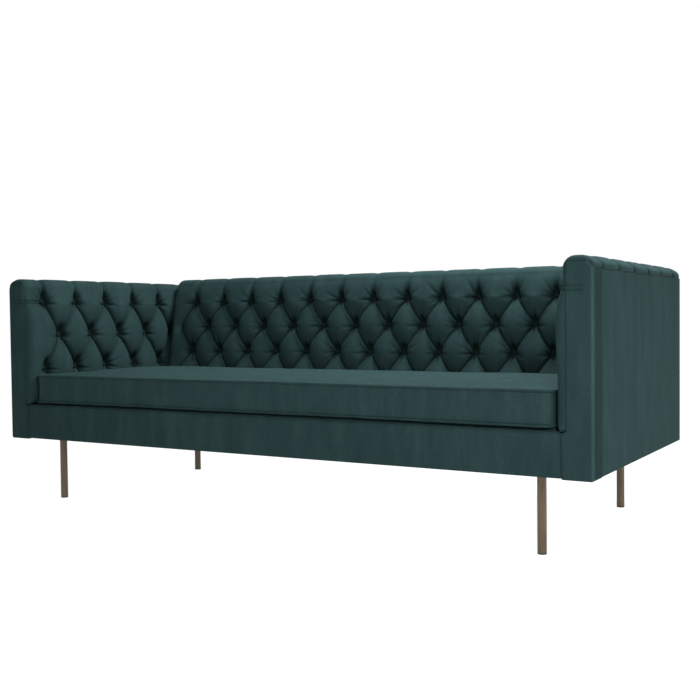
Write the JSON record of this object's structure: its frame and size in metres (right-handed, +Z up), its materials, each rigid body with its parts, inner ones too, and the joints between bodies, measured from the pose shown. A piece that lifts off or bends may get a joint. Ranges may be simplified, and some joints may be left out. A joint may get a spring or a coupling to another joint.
{
  "type": "three-seater sofa",
  "caption": "Long sofa with deep diamond-buttoned back and equally high arms, a loose bench cushion with piped seams, a plain base border and slim round metal legs.",
  "frame": {"origin": "on the floor, under the middle of the sofa's outline", "axes": "+X along the sofa, to the right in a front view; +Y to the rear; +Z up. A sitter faces -Y."},
  "size_m": [2.1, 0.93, 0.79],
  "materials": {
    "velvet": "matte",
    "timber": "matte",
    "hardboard": "matte",
    "foam": "matte",
    "felt": "matte",
    "black_cloth": "matte",
    "spring_steel": "satin",
    "zinc_steel": "satin",
    "antique_brass": "satin",
    "glide_plastic": "matte"
  },
  "bodies": {
    "sofa": {"arm_bolts": "zinc_steel", "arm_bottom_rail_left": "timber", "arm_bottom_rail_right": "timber", "arm_buttoned_cover_left": "velvet", "arm_buttoned_cover_right": "velvet", "arm_buttons_left": "velvet", "arm_buttons_right": "velvet", "arm_foam_left": "foam", "arm_foam_right": "foam", "arm_front_panel_left": "velvet", "arm_front_panel_right": "velvet", "arm_front_post_left": "timber", "arm_front_post_right": "timber", "arm_inner_board_left": "hardboard", "arm_inner_board_right": "hardboard", "arm_outer_board_left": "hardboard", "arm_outer_board_right": "hardboard", "arm_outside_cover_left": "velvet", "arm_outside_cover_right": "velvet", "arm_rear_post_left": "timber", "arm_rear_post_right": "timber", "arm_top_rail_left": "timber", "arm_top_rail_right": "timber", "back_brackets": "zinc_steel", "back_buttoned_cover": "velvet", "back_buttons": "velvet", "back_foam": "foam", "back_inner_board": "hardboard", "back_outer_board": "hardboard", "back_outside_cover": "velvet", "back_top_rail": "timber", "back_uprights": "timber", "base_back_rail": "timber", "base_cross_rails": "timber", "base_front_border": "velvet", "base_front_rail": "timber", "base_side_rail_left": "timber", "base_side_rail_right": "timber", "base_spring_rail": "timber", "corner_blocks": "timber", "deck_pad": "velvet", "dust_cover": "black_cloth", "leg_bolts": "zinc_steel", "leg_front_left": "antique_brass", "leg_front_right": "antique_brass", "leg_glides": "glide_plastic", "leg_plates": "zinc_steel", "leg_rear_left": "antique_brass", "leg_rear_right": "antique_brass", "seat_springs": "spring_steel", "spring_clips": "spring_steel", "spring_felt": "felt"},
    "cushion": {"cushion_cover": "velvet", "cushion_core": "foam", "cushion_welt_top": "velvet", "cushion_welt_bottom": "velvet", "cushion_zip": "black_cloth"},
    "zip_pull": {"zip_slider": "zinc_steel"}
  },
  "joints": [
    {"name": "cushion_slide", "type": "slide", "parent": "sofa", "child": "cushion", "axis": [0, -1, 0], "range_m": [0, 0.69]},
    {"name": "zip_slide", "type": "slide", "parent": "cushion", "child": "zip_pull", "axis": [1, 0, 0], "range_m": [0, 1.37]}
  ]
}
